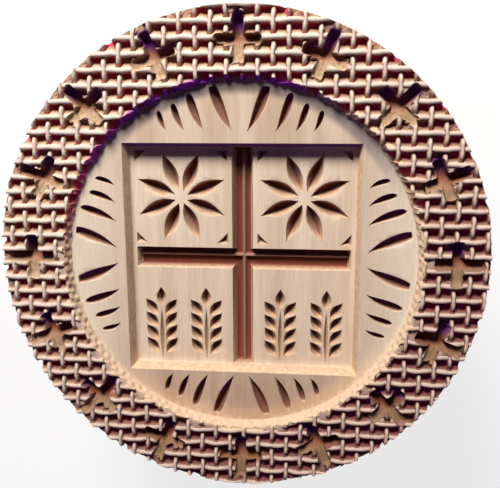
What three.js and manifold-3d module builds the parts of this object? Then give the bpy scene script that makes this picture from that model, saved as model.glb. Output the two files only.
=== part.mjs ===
// Carved wooden bread stamp: a round block with a relief-carved printing face, and a turned handle
// that is glued and dowelled behind it. Millimetres, +Z up. The stamp stands on the flat end of its
// handle, which lies on z = 0, with the carved face up and its pattern read from above, +Y away.
import * as THREE from 'three';
import { mergeVertices } from 'three/addons/utils/BufferGeometryUtils.js';
import Module from 'manifold-3d';

const wasm = await Module();
wasm.setup();

// Block
const discRadius = 60;
const discThickness = 26;
const backChamfer = 1.6;
const discFacets = 72;

// Turned handle
const handleLength = 56;
const handleEndRadius = 16.5;
const handleEndRound = 2.2;
const knobRadius = 20.5;
const knobHeight = 17;
const neckRadius = 11;
const neckHeight = 38;
const flangeRadius = 23;
const flangeEdge = 3;
const coveRadius = 17;
const coveFillet = 1;
const coveSweep = 0.7;
const curveSteps = 5;
const handleFacets = 32;

// Dowel between the two
const dowelRadius = 6;
const dowelLength = 34;
const dowelInBlock = 11;
const dowelFlutes = 12;
const sidesPerFlute = 4;
const fluteDepth = 0.5;
const dowelBevel = 1;
const glueGap = 0.3;
const glueRoom = 1;
const holeFacets = 24;

// Basket weave that fills the ring round the recess
const weavePitch = 3.63;
const weaveShiftX = 0.86;
const weaveShiftY = 1.85;
const weaveDepth = 2.9;
const strandWidth = 1.15;
const strandCrown = 0.85;
const crestHalf = 1.3;
const pocketFloor = 1.2;
const leastPocket = 0.4;
const pocketSamples = [-0.4, -0.2, 0, 0.2, 0.4];

// Round recess and its thin rim
const recessRadius = 44.4;
const recessDepth = 3.1;
const recessDraft = 1.4;
const rimWidth = 0.5;

// Crosses set round the weave, their arms measured from the middle
const crossCount = 16;
const crossArmOut = 6.5;
const crossArmIn = 5.5;
const crossArmAside = 5.6;
const crossWidth = 2.9;
const crossFloorWidth = 1.8;
const crossDepth = 4.2;
const crossRim = 0.5;

// Square panel sunk in the recess, a little off centre as the hand set it
const panelSide = 58.3;
const panelCentreX = 0.2;
const panelCentreY = -0.95;
const panelDepth = 3.6;
const panelDraft = 0.9;

// Two grooves that quarter the panel, each with a low ridge along its middle
const grooveDepth = 3;
const uprightGrooveWidth = 5.2;
const crossGrooveWidth = 4;
const crossGrooveRise = 0.6;
const crossGrooveMargin = 1.1;
const grooveDraft = 0.7;
const ridgeWidth = 0.7;
const ridgeHeight = 1.1;

// Chip-carved leaves between panel and rim, from the middle of a fan outwards.
// root and tip are distances from the fan's own axis, gap is left between tip and recess wall.
const leafRootGap = 2;
const leafDepth = 2.4;
const leafBow = 0.4;
const leafKeel = 0.06;
const leafWidest = 0.64;
const fanLeaves = [
  { root: 1.8, tip: 6.8, gap: 0.15, width: 2.5 },
  { root: 8.6, tip: 12.4, gap: 1.0, width: 2.0 },
  { root: 13.3, tip: 16.2, gap: 2.0, width: 1.6 },
  { root: 17.6, tip: 19.7, gap: 2.0, width: 1.3 },
];

// Shape of every chip cut: how far its widest place lies towards the root, how narrow its ends
// stay, and how soon its keel comes up towards them
const chipSkew = 0.9;
const chipEnd = 0.03;
const chipKeelRise = 0.8;

// Ornaments in the four quarters of the panel
const petalDepth = 3;
const grainDepth = 2.4;
const stemDepth = 1.3;
const ornamentMargin = 1.1;
const rosettePetals = 8;
const rosetteHub = 1.7;
const petalWidth = 3.3;
const cornerChip = 2.9;
const cornerDepth = 1.8;
const chipPoint = 0.05;
const earGrainPairs = 4;
const earFoot = 0.35;
const grainLength = 5.2;
const grainWidth = 2.5;
const grainKeel = 0.1;
const grainLean = 0.62;
const grainStep = 3.5;
const stemWidth = 1.1;
const stemGap = 0.45;

// Heights that follow from these
const faceZ = handleLength + discThickness;
const crossingZ = faceZ - strandCrown;
const weaveFloorZ = faceZ - weaveDepth;
const recessZ = faceZ - recessDepth;
const panelZ = recessZ - panelDepth;
const recessFloorRadius = recessRadius - recessDraft;
const plugRadius = recessRadius + rimWidth;
const crossRing = (discRadius + recessRadius) / 2;
const above = 4;
const inset = 0.8;
const sameSpot = 1e-3;

const wood = (color, roughness) => new THREE.MeshStandardMaterial({ color, roughness, metalness: 0 });

// Makes a solid from points and triangles, with its faces turned outwards
function solid(points, faces) {
  let volume = 0;
  for (const [a, b, c] of faces) {
    const [p, q, r] = [points[a], points[b], points[c]];
    volume += p[0] * (q[1] * r[2] - q[2] * r[1])
      + p[1] * (q[2] * r[0] - q[0] * r[2])
      + p[2] * (q[0] * r[1] - q[1] * r[0]);
  }
  const turned = volume < 0 ? faces.map(([a, b, c]) => [a, c, b]) : faces;
  return new wasm.Manifold(new wasm.Mesh({
    numProp: 3,
    vertProperties: new Float32Array(points.flat()),
    triVerts: new Uint32Array(turned.flat()),
  }));
}

// Flat coordinates of a ring, seen along the axis that it faces most
function flattened(ring) {
  const normal = [0, 0, 0];
  ring.forEach((p, i) => {
    const q = ring[(i + 1) % ring.length];
    for (let k = 0; k < 3; k += 1) {
      const [u, v] = [(k + 1) % 3, (k + 2) % 3];
      normal[k] += (p[u] - q[u]) * (p[v] + q[v]);
    }
  });
  const sizes = normal.map(Math.abs);
  const axis = sizes.indexOf(Math.max(...sizes));
  return ring.map((p) => new THREE.Vector2(p[(axis + 1) % 3], p[(axis + 2) % 3]));
}

// Joins rings of equal count into one closed solid with flat ends
function loft(rings) {
  const n = rings[0].length;
  const faces = [];
  for (let k = 0; k + 1 < rings.length; k += 1) {
    for (let i = 0; i < n; i += 1) {
      const a = k * n + i;
      const b = k * n + ((i + 1) % n);
      faces.push([a, b, b + n], [a, b + n, a + n]);
    }
  }
  const cap = (ring, start, reversed) => {
    const outline = flattened(ring);
    const direction = THREE.ShapeUtils.area(outline);
    for (const [a, b, c] of THREE.ShapeUtils.triangulateShape(outline, [])) {
      const area = THREE.ShapeUtils.area([outline[a], outline[b], outline[c]]);
      const keep = (area * direction > 0) !== reversed;
      faces.push(keep ? [start + a, start + b, start + c] : [start + a, start + c, start + b]);
    }
  };
  cap(rings[0], 0, true);
  cap(rings.at(-1), (rings.length - 1) * n, false);
  return solid(rings.flat(), faces);
}

// Turns a profile of radius and height round the Z axis
function turned(profile, facets) {
  const geometry = new THREE.LatheGeometry(profile.map(([r, z]) => new THREE.Vector2(r, z)), facets);
  geometry.rotateX(Math.PI / 2);
  geometry.deleteAttribute('normal');
  geometry.deleteAttribute('uv');
  const merged = mergeVertices(geometry, sameSpot);
  const position = merged.attributes.position;
  const points = [];
  for (let i = 0; i < position.count; i += 1) {
    points.push([position.getX(i), position.getY(i), position.getZ(i)]);
  }
  const faces = [];
  for (let i = 0; i < merged.index.count; i += 3) {
    const face = [merged.index.getX(i), merged.index.getX(i + 1), merged.index.getX(i + 2)];
    if (new Set(face).size === 3) faces.push(face);
  }
  return solid(points, faces);
}

function union(parts) {
  return parts.reduce((whole, part) => whole.add(part));
}

// A prism with sloping sides between two outlines of the plane
function tapered(low, lowZ, high, highZ) {
  return loft([low.map(([x, y]) => [x, y, lowZ]), high.map(([x, y]) => [x, y, highZ])]);
}

function rectangle(x0, x1, y0, y1) {
  return [[x0, y0], [x1, y0], [x1, y1], [x0, y1]];
}

// Outline of a cross at (cx, cy) whose first arm points along an angle, every arm longer by grow
function crossOutline(grow, width, angle, cx, cy) {
  const h = width / 2;
  const outline = [];
  [crossArmOut, crossArmAside, crossArmIn, crossArmAside].forEach((length, k) => {
    const arm = length + grow;
    const turn = angle - (k * Math.PI) / 2;
    for (const [u, v] of [[h, h], [arm, h], [arm, -h]]) {
      outline.push([
        cx + u * Math.cos(turn) - v * Math.sin(turn),
        cy + u * Math.sin(turn) + v * Math.cos(turn),
      ]);
    }
  });
  return outline;
}

function crosses(make) {
  const parts = [];
  for (let k = 0; k < crossCount; k += 1) {
    const angle = Math.PI / 2 + (k * 2 * Math.PI) / crossCount;
    parts.push(make(angle, crossRing * Math.cos(angle), crossRing * Math.sin(angle)));
  }
  return parts;
}

// Whether a point of the face belongs to the open weave, clear of the rim and of every cross
function inWeave(x, y) {
  const r = Math.hypot(x, y);
  if (r < plugRadius || r > discRadius) return false;
  const half = crossWidth / 2 + crossRim;
  return crosses((angle, cx, cy) => {
    const u = (x - cx) * Math.cos(angle) + (y - cy) * Math.sin(angle);
    const v = Math.abs((y - cy) * Math.cos(angle) - (x - cx) * Math.sin(angle));
    const onRadial = u < crossArmOut + crossRim && -u < crossArmIn + crossRim && v < half;
    const onSide = v < crossArmAside + crossRim && Math.abs(u) < half;
    return !onRadial && !onSide;
  }).every(Boolean);
}

// Share of a pocket's opening that is clear for carving
function openShare(x, y) {
  const steps = pocketSamples.map((t) => t * (weavePitch - strandWidth));
  const samples = steps.flatMap((u) => steps.map((v) => inWeave(x + u, y + v)));
  return samples.filter(Boolean).length / samples.length;
}

// Block whose top is carved into a plain weave: at each crossing one strand crests over the other,
// which dips under it, and between four crossings lies a pocket with a hipped floor
function weaveBlock() {
  const points = [];
  const faces = [];
  const count = Math.ceil(discRadius / weavePitch) + 1;
  const half = strandWidth / 2;
  const add = (x, y, z) => points.push([x, y, z]) - 1;
  const columnX = (c) => c * weavePitch + weaveShiftX;
  const rowY = (r) => r * weavePitch + weaveShiftY;
  const crossings = new Map();
  const crossing = (c, r) => crossings.get(`${c} ${r}`);
  const quad = (a, b, c, d) => faces.push([a, b, c], [a, c, d]);
  const range = Array.from({ length: 2 * count + 1 }, (_, k) => k - count);

  for (const c of range) {
    for (const r of range) {
      const [x, y] = [columnX(c), rowY(r)];
      const upright = Math.abs(c + r) % 2 === 1;
      const [ux, uy] = upright ? [0, crestHalf] : [crestHalf, 0];
      const crested = inWeave(x, y);
      crossings.set(`${c} ${r}`, {
        upright,
        sw: add(x - half, y - half, crossingZ),
        se: add(x + half, y - half, crossingZ),
        ne: add(x + half, y + half, crossingZ),
        nw: add(x - half, y + half, crossingZ),
        start: crested ? add(x - ux, y - uy, faceZ) : null,
        end: crested ? add(x + ux, y + uy, faceZ) : null,
      });
    }
  }

  // The strip between two crossings fans round the crest that reaches into it, if there is one
  const strip = (corners, tip) => {
    const [a, b, c, d, openSide] = corners;
    if (tip === null) {
      quad(a, b, c, d);
      return;
    }
    [[a, b], [b, c], [c, d], [d, a]].forEach(([p, q], side) => {
      if (side !== openSide) faces.push([p, q, tip]);
    });
  };

  for (const c of range) {
    for (const r of range) {
      const k = crossing(c, r);
      if (k.start === null) {
        quad(k.sw, k.se, k.ne, k.nw);
      } else if (k.upright) {
        quad(k.se, k.ne, k.end, k.start);
        quad(k.nw, k.sw, k.start, k.end);
      } else {
        quad(k.sw, k.se, k.end, k.start);
        quad(k.ne, k.nw, k.start, k.end);
      }
      const east = crossing(c + 1, r);
      const north = crossing(c, r + 1);
      if (east) {
        const tip = k.upright ? east.start : k.end;
        strip([k.se, east.sw, east.nw, k.ne, k.upright ? 1 : 3], tip);
      }
      if (north) {
        const tip = k.upright ? k.end : north.start;
        strip([k.nw, k.ne, north.se, north.sw, k.upright ? 0 : 2], tip);
      }
      if (east && north) {
        const far = crossing(c + 1, r + 1);
        const [x, y] = [columnX(c + 0.5), rowY(r + 0.5)];
        const rim = [k.ne, east.nw, far.sw, north.se];
        if (openShare(x, y) < leastPocket) {
          quad(...rim);
        } else {
          const west = add(x - pocketFloor / 2, y, weaveFloorZ);
          const eastEnd = add(x + pocketFloor / 2, y, weaveFloorZ);
          quad(rim[0], rim[1], eastEnd, west);
          faces.push([rim[1], rim[2], eastEnd]);
          quad(rim[2], rim[3], west, eastEnd);
          faces.push([rim[3], rim[0], west]);
        }
      }
    }
  }

  // Sides and back of the block
  const border = [];
  for (const c of range) border.push(crossing(c, -count).sw, crossing(c, -count).se);
  for (const r of range) border.push(crossing(count, r).se, crossing(count, r).ne);
  for (const c of range.toReversed()) border.push(crossing(c, count).ne, crossing(c, count).nw);
  for (const r of range.toReversed()) border.push(crossing(-count, r).nw, crossing(-count, r).sw);
  const edge = border.filter((v, i) => v !== border[(i + 1) % border.length]);
  const foot = edge.map((v) => add(points[v][0], points[v][1], handleLength));
  const middle = add(0, 0, handleLength);
  edge.forEach((v, i) => {
    const next = (i + 1) % edge.length;
    quad(foot[i], foot[next], edge[next], v);
    faces.push([foot[next], foot[i], middle]);
  });
  return solid(points, faces);
}

function crossCuts() {
  const draft = (crossWidth - crossFloorWidth) / 2;
  const rise = (draft * above) / crossDepth;
  return union(crosses((angle, x, y) => tapered(
    crossOutline(-draft, crossFloorWidth, angle, x, y),
    faceZ - crossDepth,
    crossOutline(rise, crossWidth + 2 * rise, angle, x, y),
    faceZ + above,
  )));
}

const petalSwell = (t) => Math.sin(Math.PI * t ** chipSkew);

// Widest at about two thirds of the way out, and blunt beyond
function leafSwell(t) {
  if (t < leafWidest) return Math.sin((Math.PI / 2) * (t / leafWidest));
  return Math.sqrt(Math.max(1 - ((t - leafWidest) / (1 - leafWidest)) ** 3, 0));
}

// A chip cut: a boat from root to tip, as wide at each place as its swell says.
// bow bends it sideways, keel shifts its deepest line to one side.
function chip(root, tip, width, depth, surfaceZ, options) {
  const { bow = 0, keel = 0, stations = 5, swell: shape = petalSwell } = options;
  const dx = tip[0] - root[0];
  const dy = tip[1] - root[1];
  const length = Math.hypot(dx, dy);
  const [ux, uy] = [dx / length, dy / length];
  const at = (s, side, z) => [root[0] + ux * s - uy * side, root[1] + uy * s + ux * side, z];
  const rings = [];
  for (let k = 0; k <= stations; k += 1) {
    const t = k / stations;
    const swell = Math.max(shape(t), chipEnd);
    const half = (width / 2) * swell;
    const bend = bow * Math.sin(Math.PI * t);
    const s = t * length;
    rings.push([
      at(s, bend - half, surfaceZ + above),
      at(s, bend - half, surfaceZ),
      at(s, bend + keel * width * swell, surfaceZ - depth * swell ** chipKeelRise),
      at(s, bend + half, surfaceZ),
      at(s, bend + half, surfaceZ + above),
    ]);
  }
  return loft(rings);
}

// Four fans of leaves, one on each side of the panel, each mirrored about its own axis
function leaves() {
  const parts = [];
  const rootLine = panelSide / 2 + leafRootGap;
  for (let quarter = 0; quarter < 4; quarter += 1) {
    const c = Math.round(Math.cos((quarter * Math.PI) / 2));
    const s = Math.round(Math.sin((quarter * Math.PI) / 2));
    const turn = ([x, y]) => [x * c - y * s, x * s + y * c];
    for (const { root, tip, gap, width } of fanLeaves) {
      const reach = Math.sqrt((recessFloorRadius - gap) ** 2 - tip ** 2);
      for (const side of [-1, 1]) {
        parts.push(chip(
          turn([side * root, rootLine]),
          turn([side * tip, reach]),
          width,
          leafDepth,
          recessZ,
          { bow: -side * leafBow, keel: side * leafKeel, swell: leafSwell },
        ));
      }
    }
  }
  return union(parts);
}

function panelCut() {
  const half = panelSide / 2;
  const square = (grow) => rectangle(
    panelCentreX - half - grow,
    panelCentreX + half + grow,
    panelCentreY - half - grow,
    panelCentreY + half + grow,
  );
  const rise = (panelDraft * above) / panelDepth;
  return tapered(square(-panelDraft), panelZ, square(rise), recessZ + above);
}

// A groove cut with sloping sides, and the ridge that is left along its floor
function groove(x0, x1, y0, y1) {
  const rise = (grooveDraft * above) / grooveDepth;
  return tapered(
    rectangle(x0 + grooveDraft, x1 - grooveDraft, y0 + grooveDraft, y1 - grooveDraft),
    panelZ - grooveDepth,
    rectangle(x0 - rise, x1 + rise, y0 - rise, y1 + rise),
    panelZ + above,
  );
}

function grooveCuts() {
  const reach = panelSide / 2 - panelDraft;
  const upright = uprightGrooveWidth / 2;
  const level = crossGrooveWidth / 2;
  const crossY = panelCentreY + crossGrooveRise;
  const grooves = groove(
    panelCentreX - upright,
    panelCentreX + upright,
    panelCentreY - reach,
    panelCentreY + reach,
  ).add(groove(
    panelCentreX - reach + crossGrooveMargin,
    panelCentreX + reach - crossGrooveMargin,
    crossY - level,
    crossY + level,
  ));
  const ridge = (x0, x1, y0, y1) => tapered(
    rectangle(x0, x1, y0, y1),
    panelZ - grooveDepth - inset,
    rectangle(x0, x1, y0, y1),
    panelZ - grooveDepth + ridgeHeight,
  );
  const half = ridgeWidth / 2;
  return grooves
    .subtract(ridge(panelCentreX - half, panelCentreX + half, panelCentreY - reach, panelCentreY + reach))
    .subtract(ridge(panelCentreX - reach, panelCentreX + reach, crossY - half, crossY + half));
}

// The four quarters of the panel that the grooves leave, as boxes
function quarters() {
  const reach = panelSide / 2 - panelDraft - ornamentMargin;
  const upright = uprightGrooveWidth / 2 + ornamentMargin;
  const level = crossGrooveWidth / 2 + ornamentMargin;
  const crossY = panelCentreY + crossGrooveRise;
  const boxes = [];
  for (const side of [-1, 1]) {
    for (const row of [-1, 1]) {
      const x = [panelCentreX + side * upright, panelCentreX + side * reach].sort((a, b) => a - b);
      const y = [crossY + row * level, panelCentreY + row * reach].sort((a, b) => a - b);
      boxes.push({ side, row, x, y, cx: (x[0] + x[1]) / 2, cy: (y[0] + y[1]) / 2 });
    }
  }
  return boxes;
}

// A three-cornered chip: its sides slope down to one deep point in the middle
function threeCornered(corners) {
  const middle = [0, 1].map((k) => corners.reduce((sum, p) => sum + p[k], 0) / corners.length);
  const scaled = (factor) => corners.map((p) => [0, 1].map((k) => middle[k] + (p[k] - middle[k]) * factor));
  return tapered(scaled(chipPoint), panelZ - cornerDepth, scaled(1 + above / cornerDepth), panelZ + above);
}

// Eight-petalled rosette with a three-cornered chip in each corner of its quarter
function rosette(box) {
  const parts = [];
  const radius = Math.min(box.x[1] - box.x[0], box.y[1] - box.y[0]) / 2;
  for (let k = 0; k < rosettePetals; k += 1) {
    const angle = ((k + 0.5) * 2 * Math.PI) / rosettePetals;
    const [c, s] = [Math.cos(angle), Math.sin(angle)];
    parts.push(chip(
      [box.cx + rosetteHub * c, box.cy + rosetteHub * s],
      [box.cx + radius * c, box.cy + radius * s],
      petalWidth,
      petalDepth,
      panelZ,
      { stations: 4 },
    ));
  }
  for (const [x, towardsX] of [[box.x[0], 1], [box.x[1], -1]]) {
    for (const [y, towardsY] of [[box.y[0], 1], [box.y[1], -1]]) {
      parts.push(threeCornered([
        [x, y],
        [x + towardsX * cornerChip, y],
        [x, y + towardsY * cornerChip],
      ]));
    }
  }
  return union(parts);
}

// Ear of wheat: a stem with pairs of grains that lean outwards, and one grain on top
function wheatEar(cx, footY) {
  const parts = [];
  const grain = (x, y, lean) => chip(
    [x, y],
    [x + grainLength * Math.sin(lean), y + grainLength * Math.cos(lean)],
    grainWidth,
    grainDepth,
    panelZ,
    { keel: grainKeel, stations: 3 },
  );
  const stemSide = stemWidth / 2 + stemGap;
  for (let k = 0; k < earGrainPairs; k += 1) {
    const y = footY + (k + earFoot) * grainStep;
    parts.push(grain(cx + stemSide, y, grainLean), grain(cx - stemSide, y, -grainLean));
  }
  const topY = footY + earGrainPairs * grainStep;
  const stemTip = [cx, topY - stemGap];
  parts.push(grain(cx, topY, 0));
  parts.push(chip([cx, footY], stemTip, stemWidth, stemDepth, panelZ, { stations: 2 }));
  return union(parts);
}

function ornaments() {
  const parts = [];
  for (const box of quarters()) {
    if (box.row > 0) {
      parts.push(rosette(box));
    } else {
      const quarterWidth = (box.x[1] - box.x[0]) / 4;
      for (const side of [-1, 1]) parts.push(wheatEar(box.cx + side * quarterWidth, box.y[0]));
    }
  }
  return union(parts);
}

function dowelHole() {
  const radius = dowelRadius + glueGap;
  return turned([
    [0, handleLength - inset],
    [radius, handleLength - inset],
    [radius, handleLength + dowelInBlock + glueRoom],
    [0, handleLength + dowelInBlock + glueRoom],
  ], holeFacets);
}

function stampDisc() {
  const plug = turned([
    [0, weaveFloorZ - inset],
    [plugRadius, weaveFloorZ - inset],
    [plugRadius, crossingZ],
    [0, crossingZ],
  ], discFacets);
  const recess = turned([
    [0, recessZ],
    [recessFloorRadius, recessZ],
    [recessRadius + (recessDraft * above) / recessDepth, faceZ + above],
    [0, faceZ + above],
  ], discFacets);
  const outside = turned([
    [0, handleLength],
    [discRadius - backChamfer, handleLength],
    [discRadius, handleLength + backChamfer],
    [discRadius, faceZ + above],
    [0, faceZ + above],
  ], discFacets);
  return weaveBlock()
    .add(plug)
    .subtract(crossCuts())
    .subtract(recess)
    .subtract(leaves())
    .subtract(panelCut())
    .subtract(grooveCuts())
    .subtract(ornaments())
    .subtract(dowelHole())
    .intersect(outside);
}

// Side of the handle from its flat end to its flange, as smooth curves between the named radii
function handleProfile() {
  const path = new THREE.Path();
  const belly = (knobHeight - handleEndRound) / 2;
  const waist = (neckHeight - knobHeight) / 2;
  const coveTop = handleLength - flangeEdge - coveFillet;
  const cove = (coveTop - neckHeight) * coveSweep;
  path.moveTo(handleEndRadius - handleEndRound, 0);
  path.quadraticCurveTo(handleEndRadius, 0, handleEndRadius, handleEndRound);
  path.bezierCurveTo(
    handleEndRadius + handleEndRound,
    handleEndRound + belly,
    knobRadius,
    knobHeight - belly,
    knobRadius,
    knobHeight,
  );
  path.bezierCurveTo(
    knobRadius,
    knobHeight + waist,
    neckRadius,
    neckHeight - waist,
    neckRadius,
    neckHeight,
  );
  path.bezierCurveTo(
    neckRadius,
    neckHeight + cove,
    coveRadius - coveFillet,
    coveTop,
    coveRadius,
    coveTop,
  );
  path.lineTo(coveRadius, coveTop + coveFillet);
  path.quadraticCurveTo(flangeRadius, coveTop + coveFillet, flangeRadius, handleLength);
  const points = [];
  for (const p of path.getPoints(curveSteps)) {
    const [r, z] = points.at(-1) ?? [0, 0];
    if (Math.hypot(p.x - r, p.y - z) > sameSpot) points.push([p.x, p.y]);
  }
  return points;
}

function handle() {
  const seat = handleLength + dowelInBlock - dowelLength;
  const radius = dowelRadius + glueGap;
  return turned([
    [0, 0],
    ...handleProfile(),
    [radius, handleLength],
    [radius, seat],
    [0, seat],
  ], handleFacets);
}

// Grooved dowel with bevelled ends, standing on the floor of the handle's hole
function handleDowel() {
  const seat = handleLength + dowelInBlock - dowelLength;
  const sides = dowelFlutes * sidesPerFlute;
  const ring = (radius, z) => Array.from({ length: sides }, (_, i) => {
    const angle = (i * 2 * Math.PI) / sides;
    const r = i % sidesPerFlute === 0 ? radius - fluteDepth : radius;
    return [r * Math.cos(angle), r * Math.sin(angle), z];
  });
  return loft([
    ring(dowelRadius - dowelBevel, seat),
    ring(dowelRadius, seat + dowelBevel),
    ring(dowelRadius, seat + dowelLength - dowelBevel),
    ring(dowelRadius - dowelBevel, seat + dowelLength),
  ]);
}

function piece(name, body, material) {
  const { vertProperties, triVerts } = body.getMesh();
  const geometry = new THREE.BufferGeometry();
  geometry.setAttribute('position', new THREE.BufferAttribute(new Float32Array(vertProperties), 3));
  geometry.setIndex(new THREE.BufferAttribute(new Uint32Array(triVerts), 1));
  geometry.computeVertexNormals();
  const mesh = new THREE.Mesh(geometry, material);
  mesh.name = name;
  return mesh;
}

const stamp = new THREE.Group();
stamp.add(
  piece('stamp_disc', stampDisc(), wood(0xd9b98f, 0.62)),
  piece('handle', handle(), wood(0xcfa877, 0.5)),
  piece('handle_dowel', handleDowel(), wood(0xe0c79c, 0.7)),
);

export default stamp;
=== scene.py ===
import math

import bpy
import numpy as np
from mathutils import Matrix, Vector


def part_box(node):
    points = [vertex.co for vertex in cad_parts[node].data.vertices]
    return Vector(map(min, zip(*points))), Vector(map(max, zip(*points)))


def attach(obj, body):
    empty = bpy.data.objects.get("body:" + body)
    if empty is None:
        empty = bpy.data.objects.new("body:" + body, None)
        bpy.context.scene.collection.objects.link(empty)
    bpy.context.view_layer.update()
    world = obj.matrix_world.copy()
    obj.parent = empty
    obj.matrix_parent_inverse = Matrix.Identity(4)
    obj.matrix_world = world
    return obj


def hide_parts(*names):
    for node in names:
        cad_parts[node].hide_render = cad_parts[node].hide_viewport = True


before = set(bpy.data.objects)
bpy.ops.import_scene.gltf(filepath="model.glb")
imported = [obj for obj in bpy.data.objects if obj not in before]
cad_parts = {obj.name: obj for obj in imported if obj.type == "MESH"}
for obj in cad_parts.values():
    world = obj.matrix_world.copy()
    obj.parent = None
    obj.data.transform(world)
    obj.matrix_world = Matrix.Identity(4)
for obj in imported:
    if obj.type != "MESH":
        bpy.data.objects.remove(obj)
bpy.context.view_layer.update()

# Sizes in millimetres. The outer ones come from the frame.
MM = 1000.0
DISC_LOW, DISC_HIGH = (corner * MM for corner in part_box("stamp_disc"))
_, HANDLE_HIGH = (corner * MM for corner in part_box("handle"))
DOWEL_LOW, DOWEL_HIGH = (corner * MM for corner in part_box("handle_dowel"))
DISC_R = DISC_HIGH.x
FACE_Z = DISC_HIGH.z
BACK_Z = DISC_LOW.z
FLANGE_R = HANDLE_HIGH.x
DOWEL_HOLE_R = DOWEL_HIGH.x + 0.3
# How far cutting solids reach past a surface
ABOVE, PAST = 4.0, 1

# Basket weave
PITCH = 3.63
SHIFT_X, SHIFT_Y = 0.86, 1.85
WEAVE_DEPTH = 2.9
STRAND_CROWN = 0.22
UPRIGHT_DIP, LEVEL_DIP = 1.1, 0.55
DIP_FROM, DIP_TO = 0.36, 0.9
UPRIGHT_STRAND_HALF, LEVEL_STRAND_HALF = 0.38, 0.5
# Distances from a strand's middle line: over its crown and down the pocket, to its middle
ASIDE_LINES = (0.0, 0.15, 0.28, UPRIGHT_STRAND_HALF, 0.48, 0.7, 0.95, PITCH / 2)
BELOW_LINES = (0.0, 0.2, 0.37, LEVEL_STRAND_HALF, 0.6, 0.8, 1.0, PITCH / 2)
ABOVE_LINES = (0.0, 0.2, 0.37, LEVEL_STRAND_HALF, 0.68, 1.05, 1.5, PITCH / 2)
FIRST_POCKET_LINE = 4
CORNER_ROUND = {4: 0.5, 5: 0.35, 6: 0.2}
# A pocket is carved if this share of its points is clear of rim and crosses
LEAST_POCKET, LEAST_RIM_POCKET, LEAST_EDGE_POCKET = 0.3, 0.6, 0.75
POCKET_SAMPLES, POCKET_REACH = 5, 0.9
EDGE_BELT = 0.7 * PITCH
# How far below the strands uncarved wood stands
FILL_DROP, RIM_FILL_DROP, EDGE_FILL_DROP = 0.35, 0.2, 0.8
# Steep walls: the first line's drop, and the second one's height above the floor
WALL_START, WALL_FOOT = 0.16, 0.2
# The sloping wall, line by line: drop below the strand, depth, further depth on the near side
SLOPE_START = 0.22
SLOPE_LINES = ((0.6, 1.05, 1.1), (1.1, 1.85, 0.9))
WANDER = 0.07
SMALL_WANDER = 0.6 * WANDER
TOP_WEAR = 0.05

# Round recess
RECESS_R = 44.4
RECESS_DEPTH = 3.1
RECESS_DRAFT = 1.4
RIM_WIDTH = 0.1
RIM_DROP = 0.8
RIM_FALL = 2.05
# On the near side: how much further out the wall's foot is, and the ledge behind the wall
FOOT_SHIFT, LEDGE = 0.5, 0.6
WALL_LUMP = 0.42

# Crosses, the lengths of their arms measured from the middle
CROSS_COUNT = 16
CROSS_OUT, CROSS_IN, CROSS_ASIDE = 6.5, 5.5, 5.6
CROSS_HALF = 1.45
CROSS_FLOOR_HALF = 0.85
CROSS_DEPTH = 4.2
CROSS_RISE = 2.6
CROSS_PARTS = 5
CROSS_INNER_ROUND = 0.35

# Panel and its grooves
PANEL_HALF = 29.15
PANEL_X, PANEL_Y = 0.2, -0.95
PANEL_DEPTH = 3.6
PANEL_DRAFT = 0.9
GROOVE_DEPTH = 3.0
GROOVE_HALF = 2.6
LEVEL_MARGIN = 1.1
GROOVE_DRAFT = 0.7
RIDGE_HALF = 0.3
RIDGE_HEIGHT = 1.1
RIDGE_ASIDE, RIDGE_UP = 0.2, 0.45

# Leaves
LEAF_ROOT_GAP = 2.0
LEAF_DEPTH = 2.4
LEAF_BOW = 0.4
# Distances of root and tip from the fan's axis, gap between tip and recess wall, width
FAN_LEAVES = ((1.8, 6.8, 0.15, 2.5), (8.6, 12.4, 1.0, 2.0), (13.3, 16.2, 2.0, 1.6), (17.6, 19.7, 2.0, 1.3))

# Ornaments of the four quarters
QUARTER_MARGIN = 1.1
PETALS = 8
PETAL_HUB = 1.7
PETAL_WIDTH = 3.3
PETAL_DEPTH = 3.0
CORNER_CHIP = 2.9
CORNER_DEPTH = 1.8
GRAIN_PAIRS = 4
GRAIN_LENGTH, GRAIN_WIDTH, GRAIN_DEPTH = 5.2, 2.5, 2.4
GRAIN_LEAN = 0.62
GRAIN_STEP = 3.5
FIRST_GRAIN = 0.35
STEM_WIDTH, STEM_DEPTH, STEM_GAP = 1.1, 1.3, 0.45

# How the block is put together
DISC_FACETS = 240
HOLE_FACETS = 48
BACK_EASE = 1.6
CORE_SEAM = 0.4
CORE_FOOT = 3.0
CORE_OVERLAP = 0.5
CORE_STEPS = 24
CHIP_STATIONS = 20
# Steps of a rounded corner, and the divisor that keeps it under half a side
CORNER_STEPS, MOST_ROUNDED = 4, 2.05

# Handle
HANDLE_FACETS = 96
SHARP_ANGLE = math.radians(32)
END_R, END_ROUND = 16.5, 2.2
KNOB_R, KNOB_Z = 20.5, 17
NECK_R, NECK_Z = 11, 38
COVE_R, COVE_FILLET = 17, 1
FLANGE_EDGE = 3

# How strongly each part of the wood takes its painted shade
PANEL_TINT, AWAY_TONE = 0.8, 0.8
CROSS_TONE, CROSS_WARM = 0.8, 0.85
LEAF_TONE, LEAF_WARM = 0.9, 0.85
CUT_TONE, WARM_TONE, GROOVE_WARM = 0.95, 0.85, 0.98
SHADE_TONE, RIM_TONE = 0.9, 0.85
# What is left of a painted shade in such places
BESIDE_SHARE, POCKET_LEAST, NEAR_WALL_SHARE, RIDGE_SHARE, GROOVE_WALL_SHARE = 0.4, 0.35, 0.45, 0.75, 0.25
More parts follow.
